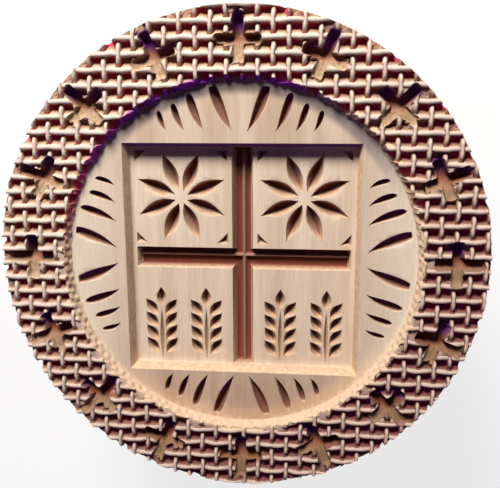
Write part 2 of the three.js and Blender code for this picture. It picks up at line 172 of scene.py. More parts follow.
# Where a painted shade starts, and the span over which it grows
POCKET_DEEP, POCKET_WALL, POCKET_ACROSS = (1.55, 1.0), (0.35, 0.8), (0.25, 0.3)
CROSS_DEEP, CROSS_SHADED, CROSS_WARMED = (0.5, 1.2), (0.7, 3.0), (-3.0, 3.5)
CHIP_DEEP, CUT_WARM_SHADED, RIM_EDGE = (0.0, 1.2), (0.6, 1.8), (-0.4, 0.6)
POCKET_AWAY, LEAF_AWAY, CUT_AWAY, WALL_AWAY = (0.0, 0.7), (0.0, 0.5), (0.25, 0.4), (0.3, 0.5)
# Margins round a cross
ON_CROSS, BESIDE_CROSS, WITHIN_CROSS = 0.1, 1.6, -0.15
# Where the ring's colour starts, behind the wall of the recess
RING_FROM = RECESS_R + 0.7

# Colours, linear
PANEL_LIGHT = (0.68, 0.595, 0.485)
PANEL_DARK = (0.57, 0.475, 0.37)
LEVEL_LIGHT = (0.57, 0.467, 0.365)
LEVEL_DARK = (0.47, 0.362, 0.265)
LEVEL_COOL = (0.655, 0.597, 0.49)
# Painted shade: level faces darker towards the near side, away from the lamp
LOW_SHADE_TINT = (0.86, 0.76, 0.74)
STRAND_TOP = (0.61, 0.53, 0.475)
# Painted shade: strands and pocket slopes darker brown partway down, darker still on the near side
STRAND_LOW_SHADE, STRAND_LOW_SHADE_NEAR = (0.32, 0.2, 0.125), (0.16, 0.065, 0.06)
# Painted shade: the weave darker on the near side, away from the lamp
NEAR_SHADE_TINT = (0.88, 0.78, 0.73)
# The cross floors' near colour is a painted shade, darker away from the lamp
SCOOPED, SCOOPED_DARK, SCOOPED_SHADE_NEAR = (0.53, 0.40, 0.26), (0.36, 0.26, 0.165), (0.28, 0.2, 0.12)
# The recess's near wall in a cream colour of its own
NEAR_WALL_CREAM = (0.55, 0.42, 0.305)
# The sloping pocket walls' near colour is a painted shade, darker away from the lamp
SLOPE_TOP, SLOPE_TOP_SHADE_NEAR = (0.56, 0.44, 0.31), (0.18, 0.1, 0.085)
WALL_LIGHT = (0.62, 0.47, 0.33)
WALL_DARK = (0.51, 0.375, 0.25)
GRAIN_TINT = (0.62, 0.5, 0.42)
# Painted shade deep in the weave's pockets, on their walls turned from the lamp and on the far rim; darker on
# the near side
DEEP_SHADE, DEEP_SHADE_NEAR = (0.55, 0.085, 0.11), (0.36, 0.01, 0.13)
# Painted shade in reddish brown, for leaves, crosses and the panel's cuts
WARM_SHADE = (0.145, 0.035, 0.02)
# Painted shade, dark violet, on walls turned from the lamp and in the crosses' arms on its side
SHADED = (0.12, 0.015, 0.22)
# Painted shadow, violet, along the recess's far rim
FAR_RIM_SHADOW = (0.22, 0.035, 0.56)
# Painted shadow on the recess floor by the far rim, and painted light by the near wall
FAR_FLOOR_SHADOW, NEAR_FLOOR_LIGHT = (0.45, 0.46, 0.56), (1.28, 1.25, 1.13)
SIDE_LIGHT = (0.60, 0.42, 0.265)
SIDE_DARK = (0.52, 0.35, 0.21)
SIDE_LINE = (0.40, 0.25, 0.145)
HANDLE_LIGHT = (0.52, 0.34, 0.19)
HANDLE_DARK = (0.36, 0.21, 0.105)
UNTINTED = (1.0, 1.0, 1.0)

# Where the colours change: across the whole face, per metre, with painted shade darker on the side away from
# the lamp, and by directions from the middle
TINT_LINE, TINT_REACH = (-9.5, 16.6, 0.0), 1.15
FLOOR_LINE, NEAR_FLOOR_LINE = ((math.cos(t), math.sin(t), 0.0) for t in map(math.radians, (85, 280)))
# Strips of the recess's floor, a painted shadow by the far rim and painted light by the near wall: edges by
# their distance from the wall, direction, and reach along it
FAR_SHADOW_STRIP = ((-5.2, -3.2, -2.2, -0.8), FLOOR_LINE, (0.35, 0.75))
NEAR_LIGHT_STRIP = ((-6.5, -2.5, 0.5, 1.5), NEAR_FLOOR_LINE, (0.45, 0.85))
# In metres: cooler aside of the middle, by this share at most, and darker towards the near side, a painted
# shade away from the lamp
COOL_ASIDE, LOW_BELOW = (0.022, 0.042, 0.8), (-0.015, -0.042)

# Noise: scales per metre, and the range that is spread out, for grain with the share of its tint
FINE_GRAIN, BROAD_GRAIN, CRUMBS, SIDE_GRAIN = (2600, 130, 900), (170, 14, 120), (900, 900, 900), (40, 9, 800)
HANDLE_FIBRE, HANDLE_GRAIN = (900, 900, 45), (260, 40, 18)
NOISE_ROUGHNESS = 0.55
BANDS, FINE_BANDS, FIBRE_BANDS = (0.35, 0.65), (0.3, 0.7, 0.22), (0.35, 0.7, 0.3)
# The normal's upright part on level faces and on walls
FACING = (0.85, 0.35)
# Roughness, specular level, strength of the bump, and the bump's height in metres
CARVED_SURFACE, TURNED_SURFACE, BUMP_HEIGHT = (0.7, 0.06, 0.25), (0.5, 0.3, 0.15), 0.0001

# Lamps
SKY = (0.42, 0.2, 0.6)
SKY_STRENGTH = 0.12
KEY_COLOUR = (1.0, 0.94, 0.87)
KEY_WATTS = 5.3
KEY_DISTANCE = 0.5
KEY_SIZE = 0.18
KEY_AZIMUTH = 102
KEY_ELEVATION = 34

# Floor, in metres, and how far a white glow hides it from the camera
FLOOR_SIZE, FLOOR_GREY, FLOOR_GLOW = 6, 0.86, 0.8

# Camera, fitted to the photograph: place in millimetres from the middle of the face, and axes
CAMERA_PLACE = (19.62, 41.40, 167.4)
CAMERA_RIGHT = (0.99501, -0.00365, -0.09966)
CAMERA_FORWARD = (-0.09811, -0.21522, -0.97162)
LENS, SENSOR, CLIP_START = 51.26, 36, 0.01

# What follows from these sizes
RECESS_Z = FACE_Z - RECESS_DEPTH
PANEL_Z = RECESS_Z - PANEL_DEPTH
RIM_Z = FACE_Z - RIM_DROP
WEAVE_FLOOR_Z = FACE_Z - WEAVE_DEPTH
RECESS_FLOOR_R = RECESS_R - RECESS_DRAFT
PLUG_R = RECESS_R + RIM_WIDTH
CROSS_RING = (DISC_R + RECESS_R) / 2
CROSS_ANGLES = [math.pi / 2 + 2 * math.pi * k / CROSS_COUNT for k in range(CROSS_COUNT)]
CROSSES = [(angle, CROSS_RING * math.cos(angle), CROSS_RING * math.sin(angle)) for angle in CROSS_ANGLES]
# Directions from the middle: where the rim has fallen, has opened, and has its violet painted shadow
FAR_SIDE, OPEN_SIDE, VIOLET_SIDE = (math.radians(angle) for angle in (118, 58, 106))


# Mesh building, all in millimetres until a piece is finished

def mesh_object(name, points, faces):
    points, faces = np.asarray(points, np.float32), np.asarray(faces, np.int32)
    mesh = bpy.data.meshes.new(name)
    mesh.vertices.add(len(points))
    mesh.vertices.foreach_set("co", points.ravel())
    mesh.loops.add(faces.size)
    mesh.loops.foreach_set("vertex_index", faces.ravel())
    mesh.polygons.add(len(faces))
    mesh.polygons.foreach_set("loop_start", np.arange(0, faces.size, 3, dtype=np.int32))
    mesh.update(calc_edges=True)
    obj = bpy.data.objects.new(name, mesh)
    bpy.context.collection.objects.link(obj)
    return obj


def facing_out(points, faces):
    """Turns every triangle over if the closed surface encloses a negative volume."""
    points, faces = np.asarray(points, float), np.asarray(faces, int)
    a, b, c = (points[faces[:, k]] for k in range(3))
    volume = np.einsum("ij,ij->i", a, np.cross(b, c)).sum()
    return points, faces[:, ::-1] if volume < 0 else faces


def capped(rings, steps):
    """The rings, with smaller copies inside the first and the last, so a wide cap has small faces."""
    def inner(ring):
        middle = np.mean(ring, axis=0)
        return [[tuple(middle + (np.array(p) - middle) * k / steps) for p in ring] for k in range(1, steps)]

    return [*inner(rings[0]), *rings, *reversed(inner(rings[-1]))]


def closed(rings, low_end, high_end):
    """One closed solid through rings of equal count, each end a fan from a point of its own."""
    n = len(rings[0])
    points = [p for ring in rings for p in ring]
    faces = []
    for k in range(len(rings) - 1):
        for i in range(n):
            a, b = k * n + i, k * n + (i + 1) % n
            faces += [(a, b, b + n), (a, b + n, a + n)]
    for start, end, flip in ((0, low_end, True), ((len(rings) - 1) * n, high_end, False)):
        middle = len(points)
        points.append(end)
        for i in range(n):
            a, b = start + i, start + (i + 1) % n
            faces.append((b, a, middle) if flip else (a, b, middle))
    return facing_out(points, faces)


def loft(rings, steps=1):
    """A closed solid through rings, its ends closed towards their middles in steps."""
    rings = capped(rings, steps)
    n = len(rings[0])
    ends = (tuple(sum(p[k] for p in ring) / n for k in range(3)) for ring in (rings[0], rings[-1]))
    return closed(rings, *ends)


def turned(profile, facets):
    """A profile of (radius, height) from axis to axis, turned round Z."""
    turns = [2 * math.pi * i / facets for i in range(facets)]
    rings = [[(r * math.cos(t), r * math.sin(t), z) for t in turns] for r, z in profile if r > 0]
    return closed(rings, (0.0, 0.0, profile[0][1]), (0.0, 0.0, profile[-1][1]))


def joined(solids):
    """Several separate closed solids as one set of points and faces."""
    points, faces, count = [], [], 0
    for p, f in solids:
        points.append(np.asarray(p, float))
        faces.append(np.asarray(f, int) + count)
        count += len(p)
    return np.concatenate(points), np.concatenate(faces)


def combine(target, solid, operation):
    """Cuts or joins target with a closed solid, and throws the tool away."""
    tool = mesh_object("tool", *solid)
    modifier = target.modifiers.new("cut", "BOOLEAN")
    modifier.operation = operation
    modifier.solver = "MANIFOLD"
    modifier.object = tool
    graph = bpy.context.evaluated_depsgraph_get()
    result = bpy.data.meshes.new_from_object(target.evaluated_get(graph))
    target.modifiers.clear()
    old, target.data = target.data, result
    bpy.data.meshes.remove(old)
    spare = tool.data
    bpy.data.objects.remove(tool)
    bpy.data.meshes.remove(spare)


def smoothstep(t):
    t = np.clip(t, 0.0, 1.0)
    return t * t * (3 - 2 * t)


def rising(value, start, span):
    """From 0 to 1 while a value goes from a start over a span."""
    return smoothstep((value - start) / span)


def read(collection, name, width=1, kind=np.float32):
    """One property of every element of a mesh, as an array with a row for each."""
    values = np.empty(len(collection) * width, kind)
    collection.foreach_get(name, values)
    return values.reshape(-1, width) if width > 1 else values


def on_cross(x, y, angle, cx, cy, margin=0.0):
    c, s = math.cos(angle), math.sin(angle)
    u, v = (x - cx) * c + (y - cy) * s, np.abs((y - cy) * c - (x - cx) * s)
    half = CROSS_HALF + margin
    radial = (u < CROSS_OUT + margin) & (-u < CROSS_IN + margin) & (v < half)
    return radial | ((v < CROSS_ASIDE + margin) & (np.abs(u) < half))


# Basket weave

def in_weave(x, y):
    """Where the face is open weave, clear of the rim and of every cross. Takes arrays."""
    r = np.hypot(x, y)
    clear = (r > PLUG_R + LEDGE * near_share(x, y)) & (r < DISC_R)
    for angle, cx, cy in CROSSES:
        clear &= ~on_cross(x, y, angle, cx, cy)
    return clear


def towards(side, x, y):
    """Cosine of the angle between a direction and the one that a point has from the middle."""
    return (x * math.cos(side) + y * math.sin(side)) / np.maximum(np.hypot(x, y), 1.0)


def rim_dark(x, y):
    """From 0 to 1 towards the far side, where the rim falls and its painted shadow is darkest."""
    return rising(towards(FAR_SIDE, x, y), 0.45, 0.4)


def rim_fall(x, y):
    """How much lower the rim of the recess lies on the far side, where it was cut away most."""
    return RIM_FALL * np.maximum(rim_dark(x, y), rising(towards(OPEN_SIDE, x, y), 0.55, 0.3))


def near_share(x, y):
    """From 0 to 1 towards the near side, where the wall is steeper and has a narrow ledge behind it."""
    return smoothstep(0.5 - 0.6 * towards(FAR_SIDE, x, y))


def grid_lines(shift, count, below, above):
    """Grid lines along one axis: position, line number within its half pitch, nearest strand."""
    least_step = 1e-6
    lines = []
    for k in range(-count, count + 1):
        middle = k * PITCH + shift
        lines += [(middle - off, m, k) for m, off in reversed(list(enumerate(below))) if m]
        lines += [(middle + off, m, k) for m, off in enumerate(above)]
    kept = [line for i, line in enumerate(lines) if i == 0 or line[0] - lines[i - 1][0] > least_step]
    position, number, strand = zip(*kept)
    return np.array(position), np.array(number), np.array(strand)


def strand_top(along, is_over, dip, aside):
    """Height of a strand, along being the distance from the nearest crossing, and aside the share of the
    strand's half width."""
    travel = np.where(is_over, along, PITCH - along) / PITCH
    crown = STRAND_CROWN * np.minimum(aside, 1) ** 2
    return FACE_Z - dip * smoothstep((travel - DIP_FROM) / (DIP_TO - DIP_FROM)) - crown


def carved_pockets(pocket_x, pocket_y, edge):
    """Which pockets are carved, and the wood's height in those that aren't."""
    steps = np.linspace(-1, 1, POCKET_SAMPLES) * ((PITCH / 2 - LEVEL_STRAND_HALF) * POCKET_REACH)
    share = np.mean([in_weave(pocket_x + u, pocket_y + v) for u in steps for v in steps], axis=0)
    pocket_r = np.hypot(pocket_x, pocket_y)
    by_rim = pocket_r < PLUG_R + LEDGE * near_share(pocket_x, pocket_y) + PITCH / 2
    by_edge = pocket_r > DISC_R - EDGE_BELT
    carved = share > np.select([by_rim, by_edge], [LEAST_RIM_POCKET, LEAST_EDGE_POCKET], LEAST_POCKET)
    rim_z = np.minimum(edge - RIM_FILL_DROP, RIM_Z - rim_fall(pocket_x, pocket_y))
    filled = np.select([by_rim, by_edge], [rim_z, edge - EDGE_FILL_DROP], edge - FILL_DROP)
    return carved, filled


def pocket_heights(x, y, edge, ring, sloping):
    """Heights in carved pockets, which have three steep walls and one that slopes."""
    lines = [ring == FIRST_POCKET_LINE + k for k in range(3)]
    foot = np.full_like(edge, WEAVE_FLOOR_Z + WALL_FOOT)
    steep = np.select(lines[:2], [edge - WALL_START, foot], WEAVE_FLOOR_Z)
    near = near_share(x, y)
    slope = [np.minimum(edge - drop, FACE_Z - depth - more * near) for drop, depth, more in SLOPE_LINES]
    slope = np.select(lines, [edge - SLOPE_START, *slope], WEAVE_FLOOR_Z)
    return np.where(sloping, np.maximum(slope, WEAVE_FLOOR_Z), steep)


def round_corners(x, y, pocket_x, pocket_y, ring, in_carved):
    """Moves the grid's points so that carved pockets get round corners."""
    u, v = x - pocket_x, y - pocket_y
    for line, radius in CORNER_ROUND.items():
        width = PITCH / 2 - ASIDE_LINES[line] - radius
        height = np.where(v < 0, PITCH / 2 - ABOVE_LINES[line], PITCH / 2 - BELOW_LINES[line]) - radius
        du, dv = np.abs(u) - width, np.abs(v) - height
        corner = in_carved & (ring == line) & (du > 0) & (dv > 0)
        length = np.where(corner, np.hypot(du, dv), 1.0)
        x = np.where(corner, pocket_x + np.sign(u) * (width + radius * du / length), x)
        y = np.where(corner, pocket_y + np.sign(v) * (height + radius * dv / length), y)
    return x, y


def uneven(x, y, z):
    """A carver's unevenness: the grid wanders a little, and the tops are worn unequally."""
    x = x + WANDER * np.sin(0.31 * x + 0.83 * y) + SMALL_WANDER * np.sin(1.7 * y + 0.4 * x)
    y = y + WANDER * np.sin(0.77 * x - 0.29 * y + 1.3) + SMALL_WANDER * np.sin(1.5 * x + 2.1)
    worn = z - TOP_WEAR * (1 + np.sin(0.9 * x + 1.3 * y) * np.sin(1.1 * x - 0.7 * y))
    return x, y, np.where(z > RIM_Z - 0.6, worn, z)


def block_under(x, y, z):
    """A closed block with a grid as its top, down to the back of the stamp."""
    rows, columns = x.shape
    top = np.stack([x, y, z], -1).reshape(-1, 3)
    index = np.arange(rows * columns).reshape(rows, columns)
    p, q = index[:-1, :-1].ravel(), index[:-1, 1:].ravel()
    r, s = index[1:, 1:].ravel(), index[1:, :-1].ravel()
    border = np.concatenate([index[0, :-1], index[:-1, -1], index[-1, :0:-1], index[:0:-1, 0]])
    foot = top[border].copy()
    foot[:, 2] = BACK_Z
    feet = len(top) + np.arange(len(border))
    border_next, feet_next = np.roll(border, -1), np.roll(feet, -1)
    middle = np.full_like(feet, len(top) + len(border))
    sides = ((feet, feet_next, border_next), (feet, border_next, border), (feet_next, feet, middle))
    triangles = ((p, q, r), (p, r, s), *sides)
    points = np.concatenate([top, foot, [[0.0, 0.0, BACK_Z]]])
    return facing_out(points, np.concatenate([np.stack(triangle, 1) for triangle in triangles]))


def weave_block():
    """The weave as the top of a block, its strands passing over and under each other."""
    count = math.ceil(DISC_R / PITCH)
    xs, x_lines, columns = grid_lines(SHIFT_X, count, ASIDE_LINES, ASIDE_LINES)
    ys, y_lines, rows = grid_lines(SHIFT_Y, count, BELOW_LINES, ABOVE_LINES)
    x, y = np.meshgrid(xs, ys)
    x_line, y_line = np.meshgrid(x_lines, y_lines)
    column, row = np.meshgrid(columns, rows)
    column_x, row_y = column * PITCH + SHIFT_X, row * PITCH + SHIFT_Y
    from_column, from_row = np.abs(x - column_x), np.abs(y - row_y)
    upright_over = (column + row) % 2 == 1
    upright = strand_top(from_row, upright_over, UPRIGHT_DIP, from_column / UPRIGHT_STRAND_HALF)
    level = strand_top(from_column, ~upright_over, LEVEL_DIP, from_row / LEVEL_STRAND_HALF)
    on_upright, on_level = x_line < FIRST_POCKET_LINE, y_line < FIRST_POCKET_LINE
    z = np.where(on_upright, np.where(on_level, np.maximum(upright, level), upright), level)

    in_pocket = ~on_upright & ~on_level
    edge = np.select([x_line < y_line, x_line > y_line], [upright, level], np.minimum(upright, level))
    pocket_x = column_x + np.sign(x - column_x) * PITCH / 2
    pocket_y = row_y + np.sign(y - row_y) * PITCH / 2
    carved, filled = carved_pockets(pocket_x, pocket_y, edge)
    for angle, cx, cy in CROSSES:
        carved &= ~(on_cross(x, y, angle, cx, cy, WITHIN_CROSS) & (y < cy))
    ring = np.minimum(x_line, y_line)
    floor = pocket_heights(x, y, edge, ring, (y_line <= x_line) & (y > row_y))
    z = np.where(in_pocket, np.where(carved, floor, filled), z)
    x, y = round_corners(x, y, pocket_x, pocket_y, ring, in_pocket & carved)
    return block_under(*uneven(x, y, z))


# Outlines and cuts

def rounded(outline, radius, parts=1):
    """A polygon with its corners rounded by arcs of about the given radius, its sides in equal parts. A
    tuple of radii is gone through from corner to corner."""
    radii = radius if isinstance(radius, tuple) else (radius,)
    arcs = []
    n = len(outline)
    for i in range(n):
        before, here, after = (np.array(outline[(i + k) % n], float) for k in (-1, 0, 1))
        sides = (before - here, after - here)
        lengths = [np.linalg.norm(side) for side in sides]
        reach = min(radii[i % len(radii)], *(length / MOST_ROUNDED for length in lengths))
        start, end = (here + side / length * reach for side, length in zip(sides, lengths))
        turns = [k / CORNER_STEPS for k in range(CORNER_STEPS + 1)]
        arcs.append([(1 - t) ** 2 * start + 2 * t * (1 - t) * here + t * t * end for t in turns])
    result = []
    for arc, following in zip(arcs, arcs[1:] + arcs[:1]):
        result += [tuple(p) for p in arc]
        result += [tuple(arc[-1] + (following[0] - arc[-1]) * k / parts) for k in range(1, parts)]
    return result


def cross_outline(grow, half, angle, cx, cy, radius):
    """Outline of a cross whose first arm points along an angle, every arm longer by grow."""
    outline = []
    for k, length in enumerate((CROSS_OUT, CROSS_ASIDE, CROSS_IN, CROSS_ASIDE)):
        turn, arm = angle - k * math.pi / 2, length + grow
        c, s = math.cos(turn), math.sin(turn)
        for u, v in ((half, half), (arm, half), (arm, -half)):
            outline.append((cx + u * c - v * s, cy + u * s + v * c))
    return rounded(outline, (CROSS_INNER_ROUND, radius, radius), parts=CROSS_PARTS)


def cross_cuts():
    """The crosses round the ring. Their floors rise towards the near side, the way they were scooped."""
    floor = FACE_Z - CROSS_DEPTH
    slope = CROSS_HALF - CROSS_FLOOR_HALF
    # Height, how much longer each arm is, half its width, radius of its end's corners
    levels = (
        (floor, -1.6, CROSS_FLOOR_HALF - 0.5, 0.12),
        (floor + 0.1, -1.25, CROSS_FLOOR_HALF - 0.2, 0.3),
        (floor + 0.3, -1.0, CROSS_FLOOR_HALF, 0.5),
        (floor + 0.7, -0.8, CROSS_FLOOR_HALF + 0.25 * slope, 0.65),
        (floor + 1.5, -0.5, CROSS_FLOOR_HALF + 0.4 * slope, 0.8),
        (floor + 3.0, -0.2, CROSS_FLOOR_HALF + 0.8 * slope, 0.95),
        (FACE_Z - 0.45, 0.0, CROSS_HALF, 1.0),
        (FACE_Z, 0.2, CROSS_HALF + 0.2, 1.0),
        (FACE_Z + ABOVE, 0.3, CROSS_HALF + 0.3, 1.0),
    )
    solids = []
    for angle, cx, cy in CROSSES:
        points, faces = loft([
            [(x, y, z) for x, y in cross_outline(grow, half, angle, cx, cy, radius)]
            for z, grow, half, radius in levels
        ], steps=5)
        share = np.clip(1 - (points[:, 2] - floor) / (CROSS_DEPTH - 0.8), 0, 1)
        points[:, 2] += CROSS_RISE * share * rising(cy - points[:, 1], -1.6, 3.8)
        solids.append((points, faces))
    return joined(solids)


def rectangle(x0, x1, y0, y1, radius=0.35, parts=1):
    return rounded([(x0, y0), (x1, y0), (x1, y1), (x0, y1)], radius, parts=parts)


def box_cut(x0, x1, y0, y1, floor_z, top_z, draft, above=ABOVE, steps=1):
    """A sunk rectangle: sloping walls, a small fillet at the floor and an eased upper edge."""
    depth = top_z - floor_z
    # Height, and how far inside the outline
    levels = (
        (floor_z, draft + 0.35),
        (floor_z + 0.12, draft + 0.1),
        (floor_z + 0.4, draft * 0.9),
        (top_z - 0.12, draft * 0.12 / depth),
        (top_z, -0.08),
        (top_z + above, -0.08),
    )
    return loft([
        [(x, y, z) for x, y in rectangle(x0 + inset, x1 - inset, y0 + inset, y1 - inset, parts=steps)]
        for z, inset in levels
    ], steps=steps)


def petal_swell(t):
    return math.sin(math.pi * t ** 0.9)


def leaf_swell(t):
    """Widest at about two thirds of the way from root to tip, and blunt beyond."""
    widest = 0.64
    if t < widest:
        return math.sin(math.pi / 2 * t / widest) ** 0.95
    return max(0.0, 1 - ((t - widest) / (1 - widest)) ** 2.7) ** 0.5


def chip(root, tip, width, depth, surface_z, bow=0.0, keel=0.0, swell=petal_swell, steep=0.45):
    """A chip cut from root to tip: pointed at its ends, its keel in the middle or nearer to one side."""
    root, tip = np.array(root, float), np.array(tip, float)
    length = np.linalg.norm(tip - root)
    ux, uy = (tip - root) / length
    rings = []
    for k in range(CHIP_STATIONS + 1):
        t = k / CHIP_STATIONS
        full = max(swell(t), 0.06)
        half = width / 2 * full
        edge = 0.25 * half
        bend = bow * math.sin(math.pi * t ** 0.7)
        ahead = t * length
        down = depth * full ** 0.7
        line = keel * width * full
        # Across the chip, and up from the surface
        left, right = ((
            (side * (half + edge), ABOVE),
            (side * (half + edge), 0.1),
            (side * half, -0.06 * full),
            (side * half * (1 - steep) + line * steep, -0.62 * down),
        ) for side in (-1, 1))
        section = (*left, (line, -down), *reversed(right))
        rings.append([(
            root[0] + ux * ahead - uy * (bend + side),
            root[1] + uy * ahead + ux * (bend + side),
            surface_z + z,
        ) for side, z in section])
    return loft(rings)


def leaves():
    solids = []
    root_line = PANEL_HALF + LEAF_ROOT_GAP
    for c, s in ((1, 0), (0, 1), (-1, 0), (0, -1)):
        for root, tip, gap, width in FAN_LEAVES:
            reach = math.sqrt((RECESS_FLOOR_R - gap) ** 2 - tip ** 2)
            for side in (-1, 1):
                ends = ((side * root, root_line), (side * tip, reach))
                solids.append(chip(
                    *((x * c - y * s, x * s + y * c) for x, y in ends), width, LEAF_DEPTH, RECESS_Z,
                    bow=-side * LEAF_BOW, keel=0.06 * side, swell=leaf_swell, steep=0.22,
                ))
    return joined(solids)


def groove_cuts():
    reach = PANEL_HALF - PANEL_DRAFT
    floor = PANEL_Z - GROOVE_DEPTH
    return [
        box_cut(PANEL_X - x_half, PANEL_X + x_half, PANEL_Y - y_half, PANEL_Y + y_half,
            floor, PANEL_Z, GROOVE_DRAFT, above=0.6)
        for x_half, y_half in ((GROOVE_HALF, reach), (reach - LEVEL_MARGIN, GROOVE_HALF))
    ]


def ridges():
    """The low rounded ridges that are left standing along the floors of both grooves."""
    reach = PANEL_HALF - PANEL_DRAFT - 0.6
    foot, top = PANEL_Z - GROOVE_DEPTH - 0.6, PANEL_Z - GROOVE_DEPTH + RIDGE_HEIGHT
    levels = ((foot, 0.35), (foot + 0.6, 0.25), (top - 0.15, 0.0), (top, -0.14))
    solids = []
    for x, y, x_half, y_half in (
        (PANEL_X + RIDGE_ASIDE, PANEL_Y, RIDGE_HALF, reach),
        (PANEL_X, PANEL_Y + RIDGE_UP, reach - LEVEL_MARGIN, RIDGE_HALF),
    ):
        rings = []
        for z, grow in levels:
            sides = (x - x_half - grow, x + x_half + grow, y - y_half - grow, y + y_half + grow)
            rings.append([(px, py, z) for px, py in rectangle(*sides, radius=0.1)])
        solids.append(loft(rings))
    return solids


def three_cornered(corners):
    middle = np.mean(corners, axis=0)
    levels = ((PANEL_Z - CORNER_DEPTH, 0.05), (PANEL_Z, 1.0), (PANEL_Z + ABOVE, 1.4))
    return loft([
        [(*(middle + (np.array(c) - middle) * grow), z) for c in corners]
        for z, grow in levels
    ])


def rosette(xs, ys):
    solids = []
    cx, cy = sum(xs) / 2, sum(ys) / 2
    radius = min(xs[1] - xs[0], ys[1] - ys[0]) / 2
    for k in range(PETALS):
        angle = (k + 0.5) * 2 * math.pi / PETALS
        c, s = math.cos(angle), math.sin(angle)
        root, tip = (cx + PETAL_HUB * c, cy + PETAL_HUB * s), (cx + radius * c, cy + radius * s)
        solids.append(chip(root, tip, PETAL_WIDTH, PETAL_DEPTH, PANEL_Z))
    for x, inward_x in zip(xs, (CORNER_CHIP, -CORNER_CHIP)):
        for y, inward_y in zip(ys, (CORNER_CHIP, -CORNER_CHIP)):
            solids.append(three_cornered([(x, y), (x + inward_x, y), (x, y + inward_y)]))
    return solids


def wheat_ear(cx, foot_y):
    """An ear of wheat: a stem, pairs of leaning grains and one upright grain at the top."""
    def grain(x, y, lean):
        tip = (x + GRAIN_LENGTH * math.sin(lean), y + GRAIN_LENGTH * math.cos(lean))
        return chip((x, y), tip, GRAIN_WIDTH, GRAIN_DEPTH, PANEL_Z, keel=0.1)

    solids = []
    stem_side = STEM_WIDTH / 2 + STEM_GAP
    for k in range(GRAIN_PAIRS):
        y = foot_y + (k + FIRST_GRAIN) * GRAIN_STEP
        solids += [grain(cx + stem_side, y, GRAIN_LEAN), grain(cx - stem_side, y, -GRAIN_LEAN)]
    top_y = foot_y + GRAIN_PAIRS * GRAIN_STEP
    solids.append(grain(cx, top_y, 0.0))
    solids.append(chip((cx, foot_y), (cx, top_y - STEM_GAP), STEM_WIDTH, STEM_DEPTH, PANEL_Z))
    return solids


def ornaments():
    """A rosette in each upper quarter of the panel, and two ears of wheat in each lower one."""
    reach = PANEL_HALF - PANEL_DRAFT - QUARTER_MARGIN
    inner = GROOVE_HALF + QUARTER_MARGIN
    solids = []
    for side in (-1, 1):
        xs = sorted((PANEL_X + side * inner, PANEL_X + side * reach))
        middle, quarter = sum(xs) / 2, (xs[1] - xs[0]) / 4
        for ear in (-1, 1):
            solids += wheat_ear(middle + ear * quarter, PANEL_Y - reach)
        solids += rosette(xs, (PANEL_Y + inner, PANEL_Y + reach))
    return solids


def rough_wall(facets):
    """The round recess: its sloping wall shows the small facets that the tool left."""
    # Radius, height and share of the lumps
    profile = [
        (RECESS_FLOOR_R - 0.3, RECESS_Z, 0.0),
        (RECESS_FLOOR_R - 0.05, RECESS_Z + 0.15, 0.3),
        (RECESS_FLOOR_R + 0.25 * RECESS_DRAFT, RECESS_Z + 0.9, 1.0),
        (RECESS_FLOOR_R + 0.6 * RECESS_DRAFT, RECESS_Z + 1.7, 1.0),
        (RECESS_R - 0.1, RECESS_Z + 2.4, 1.0),
        (RECESS_R, FACE_Z, 1.0),
        (RECESS_R + 0.4, FACE_Z + ABOVE, 0.5),
    ]
    rings = []
    for level, (radius, z, share) in enumerate(profile):
        ring = []
        low = max(0.0, (FACE_Z - z) / RECESS_DEPTH)
        for i in range(facets):
            t = 2 * math.pi * i / facets
            x, y = math.cos(t), math.sin(t)
            lump = math.sin(61 * t + 1.9 * level) + math.sin(97 * t - 2.3 * level) + math.sin(143 * t + level)
            shift = FOOT_SHIFT * low * float(near_share(x, y))
            r = radius + WALL_LUMP * share * lump / 3 + shift
            ring.append((r * x, r * y, z))
        rings.append(ring)
    return loft(rings, steps=2)


def core():
    """The inner part of the block, from the recess floor down, with everything that is cut into it."""
    radius = RECESS_FLOOR_R - CORE_SEAM
    base = BACK_Z + CORE_FOOT
    top = [(radius * k / CORE_STEPS, RECESS_Z) for k in range(CORE_STEPS, 0, -1)]
    obj = mesh_object("core", *turned([(0, base), (radius, base), *top, (0, RECESS_Z)], DISC_FACETS))
    combine(obj, leaves(), "DIFFERENCE")
    combine(obj, box_cut(
        PANEL_X - PANEL_HALF, PANEL_X + PANEL_HALF, PANEL_Y - PANEL_HALF, PANEL_Y + PANEL_HALF,
        PANEL_Z, RECESS_Z, PANEL_DRAFT, steps=CORE_STEPS,
    ), "DIFFERENCE")
    for cut in groove_cuts():
        combine(obj, cut, "DIFFERENCE")
    for ridge in ridges():
        combine(obj, ridge, "UNION")
    for cut in ornaments():
        combine(obj, cut, "DIFFERENCE")
    return obj


def taken(obj):
    """The points and triangles of an object, which is thrown away."""
    mesh = obj.data
    points = read(mesh.vertices, "co", 3)
    mesh.calc_loop_triangles()
    faces = read(mesh.loop_triangles, "vertices", 3, np.int32)
    bpy.data.objects.remove(obj)
    bpy.data.meshes.remove(mesh)
    return points, faces


def rim_plug():
    """Closes the weave below the recess and its rim, which falls on the far side."""
    foot = WEAVE_FLOOR_Z - 0.8
    profile = [(0, foot), (PLUG_R + 0.5, foot), (PLUG_R + 0.3, RIM_Z - 0.4), (PLUG_R, RIM_Z), (0, RIM_Z)]
    points, faces = turned(profile, DISC_FACETS)
    around = points[:, :2].T
    points[:, 2] -= np.where(points[:, 2] > RIM_Z - 0.5, rim_fall(*around), 0.0)
    points[:, :2] *= (1 + LEDGE * near_share(*around) / PLUG_R)[:, None]
    return points, faces


def outside():
    """The block's turned outside, with an eased edge at its back."""
    easing = [
        (DISC_R - BACK_EASE * (1 - math.sin(t)), BACK_Z + BACK_EASE * (1 - math.cos(t)))
        for t in np.linspace(0, math.pi / 2, 7)
    ]
    return turned([(0, BACK_Z), *easing, (DISC_R, FACE_Z + ABOVE), (0, FACE_Z + ABOVE)], DISC_FACETS)


